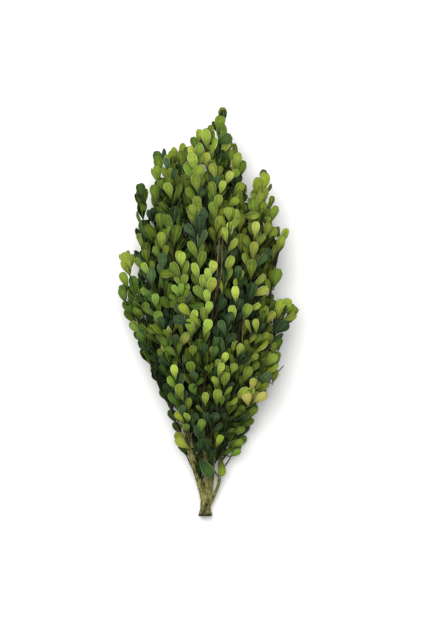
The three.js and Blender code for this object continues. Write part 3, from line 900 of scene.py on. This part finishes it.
# Where the four colours of a leaf stand on the scale of hues
HUE_STOPS = (0, 0.3, 0.6, 1)
# How fine the bark's grain is along the branch, as a share of how fine it is across
FIBRE_SHARE = 0.16


def srgb(r, g, b):
    return tuple((c / 255) ** 2.2 for c in (r, g, b)) + (1,)


class Shader:
    """A new material, and the few kinds of nodes that the materials here are made of."""

    def __init__(self, name):
        self.material = bpy.data.materials.new(name)
        self.material.use_nodes = True
        self.tree = self.material.node_tree
        self.surface = self.tree.nodes["Principled BSDF"]

    def feed(self, node, values):
        """Links each input to another node's output, or gives it a fixed value."""
        for key, value in values.items():
            if isinstance(value, bpy.types.NodeSocket):
                self.tree.links.new(value, node.inputs[key])
            else:
                node.inputs[key].default_value = value
        return node

    def node(self, kind, **values):
        return self.feed(self.tree.nodes.new(kind), values)

    def noise(self, place, **values):
        return self.node("ShaderNodeTexNoise", Vector=place, **values).outputs["Fac"]

    def corner_numbers(self):
        attribute = self.node("ShaderNodeAttribute")
        attribute.attribute_name = "tone"
        split = self.node("ShaderNodeSeparateColor", Color=attribute.outputs["Color"])
        place = self.node("ShaderNodeTexCoord").outputs["Object"]
        return [*split.outputs, attribute.outputs["Alpha"], place]

    def blended(self, factor, a, b):
        made = self.node("ShaderNodeMix")
        made.data_type = "RGBA"
        return self.feed(made, {0: factor, 6: a, 7: b}).outputs[2]

    def ranged(self, value, before, after=(0.0, 1.0)):
        ends = zip(("From Min", "From Max", "To Min", "To Max"), (*before, *after))
        return self.feed(self.node("ShaderNodeMapRange", Value=value), dict(ends)).outputs["Result"]

    def hues(self, value, colours):
        """A ramp from blue-green at 0 over fresh green and yellow green to yellow at 1."""
        ramp = self.node("ShaderNodeValToRGB", Fac=value)
        stops = ramp.color_ramp.elements
        for stop, end in zip(stops, (0, -1)):
            stop.position, stop.color = HUE_STOPS[end], srgb(*colours[end])
        for place, colour in zip(HUE_STOPS[1:-1], colours[1:-1]):
            stops.new(place).color = srgb(*colour)
        return ramp.outputs["Color"]

    def finished(self, base, grain, roughness, strength, depth, gloss):
        """The material with its colour, and a roughness and bumps that follow its grain."""
        bump = self.node("ShaderNodeBump", Strength=strength, Distance=depth, Height=grain)
        look = {"Base Color": base, "Roughness": self.ranged(grain, (0.3, 0.7), roughness)}
        self.feed(self.surface, {**look, "Normal": bump.outputs[0], "Specular IOR Level": gloss})
        return self.material


def leaf_material(name, darks, lights, rim, roughness, pale_rim_and_highlight_share):
    """Each leaf has its own tone and hue, and a paler rib. It is darker at its foot, which is painted
    shade, and paler at its margin: its own paler edge, with a painted highlight on it.
    """
    shader = Shader(name)
    tone, hue, margin, along, place = shader.corner_numbers()
    dark, light = shader.hues(hue, darks), shader.hues(hue, lights)
    mottle = shader.noise(place, Scale=260.0, Detail=3.0, Roughness=0.6)
    broad = shader.noise(place, Scale=70.0, Detail=2.0)
    base = shader.blended(tone, dark, light)
    for value, before, after, colour in (
        (mottle, (0.35, 0.7), (0.0, 0.28), dark),
        (broad, (0.4, 0.75), (0.0, 0.3), light),
        # Darker towards the foot: painted shade from the leaves around it
        (along, (0.05, 0.68), (0.92, 0.0), dark),
        (margin, (0.06, 0.2), (0.22, 0.0), light),
    ):
        base = shader.blended(shader.ranged(value, before, after), base, colour)
    # A pale rim at the margin: the leaf's paler edge with a painted highlight on it, stronger on
    # lighter leaves
    edge = shader.node("ShaderNodeMath")
    edge.operation = "MULTIPLY"
    strength = shader.ranged(tone, (0.15, 0.9), (0.1 * pale_rim_and_highlight_share, pale_rim_and_highlight_share))
    shader.feed(edge, {0: shader.ranged(margin, (0.86, 1.0)), 1: strength})
    base = shader.blended(edge.outputs["Value"], base, rim)
    rough = (roughness - 0.06, roughness + 0.08)
    return shader.finished(base, mottle, rough, strength=0.25, depth=0.0002, gloss=0.04)


def bark_material(name, low, high, dark, scale):
    """Fibres along the branch, dark spots, and painted shade in the grooves. It is all dark where the
    tone is 0; the tone is low at the cut end and, as painted shade, under the foliage.
    """
    shader = Shader(name)
    tone, relief, _, _, place = shader.corner_numbers()
    grain = (scale, scale * FIBRE_SHARE, scale)
    stretched = shader.node("ShaderNodeMapping", Vector=place, Scale=grain).outputs["Vector"]
    fibres = shader.noise(stretched, Scale=1.0, Detail=5.0, Roughness=0.65)
    spots = shader.noise(place, Scale=190.0, Detail=2.0)
    base = shader.blended(shader.ranged(fibres, (0.35, 0.68)), low, high)
    base = shader.blended(shader.ranged(spots, (0.55, 0.7), (0.0, 0.85)), base, dark)
    # Painted shade in the grooves between the ribs
    base = shader.blended(shader.ranged(relief, (0.9, 1.0), (0.3, 1.0)), dark, base)
    # Where the tone is low the bark is dark: at the cut end, and as painted shade under the foliage.
    base = shader.blended(tone, dark, base)
    return shader.finished(base, fibres, (0.62, 0.85), strength=0.6, depth=0.0006, gloss=0.15)


# The two sides of the leaves. Their rim colour stands for a leaf's paler edge with a painted
# highlight on it.
UPPER = leaf_material(
    "leaf_upper",
    [(5, 14, 4), (5, 17, 0), (12, 20, 0), (104, 92, 40)],
    [(66, 88, 62), (98, 136, 50), (146, 162, 54), (192, 180, 106)],
    rim=srgb(216, 222, 186), roughness=0.5, pale_rim_and_highlight_share=0.55,
)
UNDER = leaf_material(
    "leaf_underside",
    [(12, 30, 10), (12, 32, 1), (22, 34, 0), (132, 118, 58)],
    [(96, 124, 86), (132, 168, 68), (170, 188, 74), (212, 200, 136)],
    rim=srgb(232, 238, 208), roughness=0.6, pale_rim_and_highlight_share=0.6,
)
TWIG = bark_material("green_twig", srgb(28, 30, 14), srgb(64, 66, 32), srgb(14, 14, 8), 900)
BARK = bark_material("stem_bark", srgb(62, 58, 24), srgb(158, 156, 94), srgb(30, 26, 12), 700)
BROWN = bark_material("brown_twig", srgb(58, 46, 30), srgb(116, 98, 66), srgb(34, 26, 16), 900)

# A leaf's tone, from 0 to 1, grows with its depth: how far it is from the middle of the foliage, so
# that leaves deep inside are darker, which is painted shade. To the sides, and past the shoulders
# towards the tips, that distance counts less.
SIDE_DEPTH = 0.36
SHOULDERS = 320
TIP_DEPTH = 0.45
LIGHTENS = (12, 46)
LIGHTENING = 1.6
INSIDE_TONE = 0.04
OUTSIDE_GAIN = 0.7
# Low down the leaves are lighter, most on the right, and towards the tips they are darker.
TONE_ALONG = [(0, 0.3), (180, 0), (320, 0), (440, -0.27), (560, -0.54)]
LOW_END = 180
LOW_SLANT = 0.0025
# The twigs and the leaves differ among themselves, inside less than outside.
TWIG_SCATTER = 0.4
LEAF_SCATTER = 0.84
MIDDLE_SCATTER = 0.6
SCATTER_SHARE = (0.4, 1.05)
# The hue at the cut end, and how it changes across, along, from leaf to leaf and outwards
HUE_LEVEL = 0.304
HUE_ACROSS = 0.0014
HUE_ALONG = 0.0004
HUE_SCATTER = 0.26
OUTSIDE_HUE = 0.1
HIGHEST_HUE = 0.66
# The share of fresh leaves, everywhere and low on the left; the rest are dark blue-green ones
FRESH = 0.83
FRESH_LOW_LEFT = 0.6
LOW_LEFT_END = 200
DARK_SHARE = 0.5
DARK_HUE = 0.05
# Accents reach this far below the middle, and are this much of their tone on the inside, as painted
# shade.
ACCENT_DEPTH = 20
ACCENT_INSIDE = 0.4
ACCENT_SCATTER = 0.08
# Places where the leaves get another tone and hue: x, y, how far it reaches, which share of the
# leaves has it, their tone, and their hue. Most are the leaves' own colours; the groups with less
# light and in the dark gap are painted shade.
ACCENTS = [
    (60, 133, 8, 0.5, 0.8, 0.66), (19, 333, 9, 0.8, 0.55, 0.6), (-8, 320, 14, 0.8, 0.3, 0),
    (83, 236, 14, 0.6, 0.85, 0.6), (84, 214, 9, 1, 0.1, 0), (-88, 288, 12, 1, 0.75, 0.6),
    (28, 225, 26, 0.6, 0.15, 0.02), (62, 340, 20, 0.7, 0.8, 0.58), (-30, 205, 12, 0.7, 0.8, 0.66),
    (-46, 212, 12, 0.6, 0.1, 0), (40, 262, 16, 0.5, 0.12, 0),
    # Less light beside the leader, to the right of the bare twigs and below them
    (16, 422, 11, 1, 0.3, 0.3), (-2, 412, 12, 0.7, 0.45, 0.4), (36, 236, 16, 0.6, 0.3, 0.03),
    (10, 200, 16, 0.6, 0.3, 0.15), (-12, 338, 11, 1, 0.45, 0.5), (27, 332, 11, 1, 0.5, 0.55),
    # Dark leaves low in the middle
    (9, 114, 14, 0.8, 0.3, 0.04), (-9, 90, 10, 0.8, 0.25, 0.03), (-5, 76, 10, 1, 0.22, 0.05),
    # Painted shade: nearly black leaves in the dark gap in front, where bare twigs show
    (13, 268, 8, 0.8, 0.05, 0.05), (13, 284, 8, 0.8, 0.05, 0.05), (14, 299, 8, 0.8, 0.05, 0.05),
]


def shades(leaf, own_tone):
    """How light a leaf is, darker deep in the foliage as painted shade, and its hue: dark blue-green
    at 0, fresh, yellow green, yellow at 1.
    """
    x, y, _ = leaf.marks[COLOUR_MARK]
    above = above_middle(leaf.marks[COLOUR_MARK])
    depth = math.hypot(above, SIDE_DEPTH * x, TIP_DEPTH * max(0, y - SHOULDERS))
    outer = np.interp(depth, LIGHTENS, (0, 1)) ** LIGHTENING
    hue_scatter = leaf.pick(HUE) - 0.5
    for spot_x, spot_y, reach, share, tone, hue in ACCENTS:
        near = math.hypot(x - spot_x, y - spot_y) < reach
        if above > -ACCENT_DEPTH and near and leaf.pick(ACCENT) < share:
            return tone * mix(ACCENT_INSIDE, 1, outer), hue + ACCENT_SCATTER * hue_scatter
    scatter = TWIG_SCATTER * own_tone + LEAF_SCATTER * leaf.pick(LIGHTNESS) - MIDDLE_SCATTER
    # Painted shade: the deeper the leaf, the darker it is.
    tone = INSIDE_TONE + OUTSIDE_GAIN * outer + mix(*SCATTER_SHARE, outer) * scatter
    tone += np.interp(y, *zip(*TONE_ALONG)) + (LOW_SLANT * x if y < LOW_END else 0)
    hue = HUE_LEVEL + HUE_ACROSS * x + HUE_ALONG * y + HUE_SCATTER * hue_scatter + OUTSIDE_HUE * outer
    if leaf.pick(FRESHNESS) > (FRESH_LOW_LEFT if x < 0 and y < LOW_LEFT_END else FRESH):
        tone, hue = DARK_SHARE * tone, DARK_HUE
    return clamp(tone), clamp(hue, HIGHEST_HUE)


def leafy_spray(spray, crowd):
    mesh = Mesh()
    twig = spray.twig
    foot = twig.reach[1]
    tube(mesh, twig, tapering(*FINE_TWIG_RADIUS), sides=8, step=4, kind=GREEN_TWIG, start=foot)
    last_node = math.floor((twig.length - foot - BARE_FOOT) / LEAF_PITCH)
    leaves = [spray_leaf(spray, node, side) for node in range(last_node + 1) for side in (0, 1)]
    for node in range(FIRST_SHOOT, last_node):
        shoot = Shoot(spray, node)
        likely = TIP_SHOOT_SHARE if shoot.start[1] > TIPS_FROM else SHOOT_SHARE
        if draw(spray.number, node, HAS_SHOOT) < likely and shoot.fits():
            line = Route([shoot.start, shoot.tip])
            thin_twig(mesh, line, step=5)
            leaves.extend(shoot.leaves())
    add_leaves(mesh, crowd, filter(None, leaves), draw(spray.number, TWIG_TONE))
    return mesh


def add_leaves(mesh, crowd, leaves, own_tone):
    for leaf in leaves:
        crowd.add(leaf)
        add_blade(mesh, leaf, *shades(leaf, own_tone))


def inner_twigs(stem, route, radius, crowd):
    """The short twigs all the way up one stem, where there is room for them."""
    mesh = Mesh()
    count = 0
    spot = INNER_FROM
    while spot < route.length - INNER_END:
        inner = InnerTwig(stem, count, route, spot, mix(*radius, spot / route.length))
        count += 1
        spot += mix(*INNER_STEPS, draw(stem, count, INNER_STEP))
        if inner.fits():
            leaves = inner.leaves(crowd)
            if len(leaves) >= FEWEST_LEAVES:
                thin_twig(mesh, inner.route, step=6)
            # Leaves on the inner twigs are darker: painted shade deep in the foliage.
            add_leaves(mesh, crowd, leaves, draw(stem, count, INNER_TONE) - 1)
    return mesh


def crossing_leaves(spray, crowd):
    """Leaves that stand across the others, halfway between a twig's nodes."""
    for node in range(math.floor(spray.twig.length / LEAF_PITCH)):

        def pick(k, node=node):
            return draw(spray.number, node, CROSSING_LEAF, k + CROSSING_DRAWS)

        chance, side, sway, wide = (pick(k - CROSSING_DRAWS) for k in (1, 2, 3, 4))
        root, direction = spray.twig.at(spray.twig.length - (node + 0.5) * LEAF_PITCH)
        turn = math.pi * (side < 0.5) + CROSSING_TURN * (sway - TURN_BACK)
        opening = math.radians(mix(*CROSSING_OPENING, wide))
        if root[2] >= CROSSING_FROM and chance <= CROSSING_SHARE:
            leaf = Leaf(root, direction, turn, opening, pick, at_tip=True)
            if in_height(leaf.marks) and within_edges(leaf.marks) and crowd.has_room(leaf):
                yield leaf


def single_leaves(crowd):
    """The leaves set one by one, each on a stalk from the nearest wood, and the crossing ones."""
    mesh = Mesh()
    for i, (foot, tip, tone, hue, *width) in enumerate(SET_LEAVES):
        leaf = SetLeaf(foot, tip, i, width[0] if width else LEAF_WIDTH)
        start = nearest_wood(leaf.place)
        bend = leaf.rib * STALK_BEND
        stalk = through([start, mix(start, leaf.place, 0.5) + bend, leaf.place + bend])
        thin_twig(mesh, stalk, step=3)
        add_blade(mesh, leaf, tone, hue)
        crowd.add(leaf)
    for spray in sprays:
        add_leaves(mesh, crowd, crossing_leaves(spray, crowd), draw(spray.number, TWIG_TONE))
    return mesh


# Ribs along the trunk: height as a share of its radius, number, where they start, and winding
RIBS = [(0.07, 2, 1, 3), (0.05, 5, 0, 7), (0.02, 11, 0, 23)]
# A stem's unevenness in the same terms, and the swellings at its old leaf nodes
UNEVENNESS = [(0.05, 3, 0, 20)]
SWELLING = 0.12
SWELLINGS = 44
SHARPNESS = 10
# The bark's tone at the cut end, and the painted shade under the foliage from where it begins, which
# is further up on the left
HEEL_TONES = [(0.5, 0.15), (2, 0.3), (4, 0.85), (7, 0.6), (11, 1)]
SHADED_TONES = [(45, 1), (90, 0.12)]
SHADE_SLANT = 1.2


def trunk_radius(share):
    return np.interp(share, *zip(*TRUNK["rings"]))


def ribbed(share, angles, radius, ribs=RIBS, more=1):
    waves = (h * np.sin(count * angles + begin + wind * share) for h, count, begin, wind in ribs)
    return radius * sum(waves, more)


def knotted(share, angles, radius):
    """A stem's section: slightly uneven, with a swelling at each old leaf node."""
    swelling = SWELLING * max(0, math.sin(SWELLINGS * share)) ** SHARPNESS
    return ribbed(share, angles, radius, UNEVENNESS, 1 + swelling)


def bark_covered_stems():
    """The trunk, the stems that fork from it, and the bare brown twigs."""
    mesh = Mesh()
    trunk = stem_route(TRUNK["route"], TRUNK["step"])
    tube(mesh, trunk, trunk_radius, sides=28, step=1, kind=BARK_COVERED, relief=ribbed)
    for _, route, radius in stems:
        foot_y = route.points[0][1]
        if foot_y < trunk.points[-1][1]:
            inside, _ = trunk.at(trunk.length_at_y(max(LOWEST_STEM, foot_y - STEM_SUNK)))
            route = Route([inside, *route.points])
        tube(mesh, route, tapering(*radius), sides=14, step=2.5, kind=BARK_COVERED, relief=knotted)
    for places, colours in zip(mesh.places, mesh.colours):
        places[:, 2] = np.maximum(places[:, 2], 0)
        # The tone: lower at the cut end, and painted shade under the foliage, which begins further up
        # on the left.
        slanted = places[:, 1] + SHADE_SLANT * np.minimum(places[:, 0], 0)
        heel = np.interp(places[:, 1], *zip(*HEEL_TONES))
        colours[:, 0] = heel * np.interp(slanted, *zip(*SHADED_TONES))
    for points in BARE_TWIGS:
        tube(mesh, through(points), tapering(*BARE_TWIG_RADIUS), sides=8, step=4, kind=BROWN_TWIG)
    return mesh


crowd = Crowd()
meshes = [(leafy_spray(spray, crowd), f"leafy_{spray.name}", spray.name) for spray in sprays]
for i, (stem_name, route, radius) in enumerate(stems):
    meshes.append((inner_twigs(i, route, radius, crowd), f"inner_twigs_{stem_name}", None))
meshes.append((single_leaves(crowd), "single_leaves", None))
for mesh, name, replaced in meshes:
    piece = mesh.build(name, [UPPER, UNDER, TWIG])
    if replaced:
        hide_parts(replaced)
    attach(piece, "root")

piece = bark_covered_stems().build("bark_covered_stems", [BARK, BROWN])
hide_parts("woody_branch")
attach(piece, "root")


def light(name, place, size, power, colour):
    """A round soft light that points at the origin; its place and size are in metres."""
    data = bpy.data.lights.new(name, "AREA")
    data.shape = "DISK"
    data.size = size
    data.energy = power
    data.color = colour
    lamp = bpy.data.objects.new(name, data)
    lamp.location = place
    lamp.rotation_euler = (-Vector(place)).to_track_quat("-Z", "Y").to_euler()
    bpy.context.collection.objects.link(lamp)


def studio():
    light("key", place=(-0.35, 0.65, 2.0), size=2.2, power=65, colour=(1, 0.99, 0.97))
    light("fill", place=(0.9, -0.3, 1.8), size=1.6, power=5, colour=(0.97, 0.99, 1))
    world = bpy.data.worlds.new("studio")
    world.use_nodes = True
    background = world.node_tree.nodes["Background"]
    background.inputs["Color"].default_value = (1, 1, 1, 1)
    background.inputs["Strength"].default_value = WORLD_LIGHT
    bpy.context.scene.world = world
    bpy.context.scene.view_settings.view_transform = "Standard"
    bpy.ops.mesh.primitive_plane_add(size=FLOOR_SIZE)
    floor = bpy.context.object
    floor.name = "floor"
    shader = Shader("pale_floor")
    grey = (FLOOR_TONE, FLOOR_TONE, FLOOR_TONE, 1)
    shader.feed(shader.surface, {"Base Color": grey, "Roughness": FLOOR_ROUGHNESS})
    floor.data.materials.append(shader.material)


def camera():
    data = bpy.data.cameras.new("camera")
    data.sensor_width = SENSOR
    data.lens = SENSOR * CAMERA_DISTANCE / VIEW_HEIGHT
    data.clip_end = CAMERA_REACH * MM
    made = bpy.data.objects.new("camera", data)
    x, y, z = VIEW_CENTRE
    made.location = (x * MM, y * MM, (z + CAMERA_DISTANCE) * MM)
    bpy.context.collection.objects.link(made)
    bpy.context.scene.camera = made


studio()
camera()
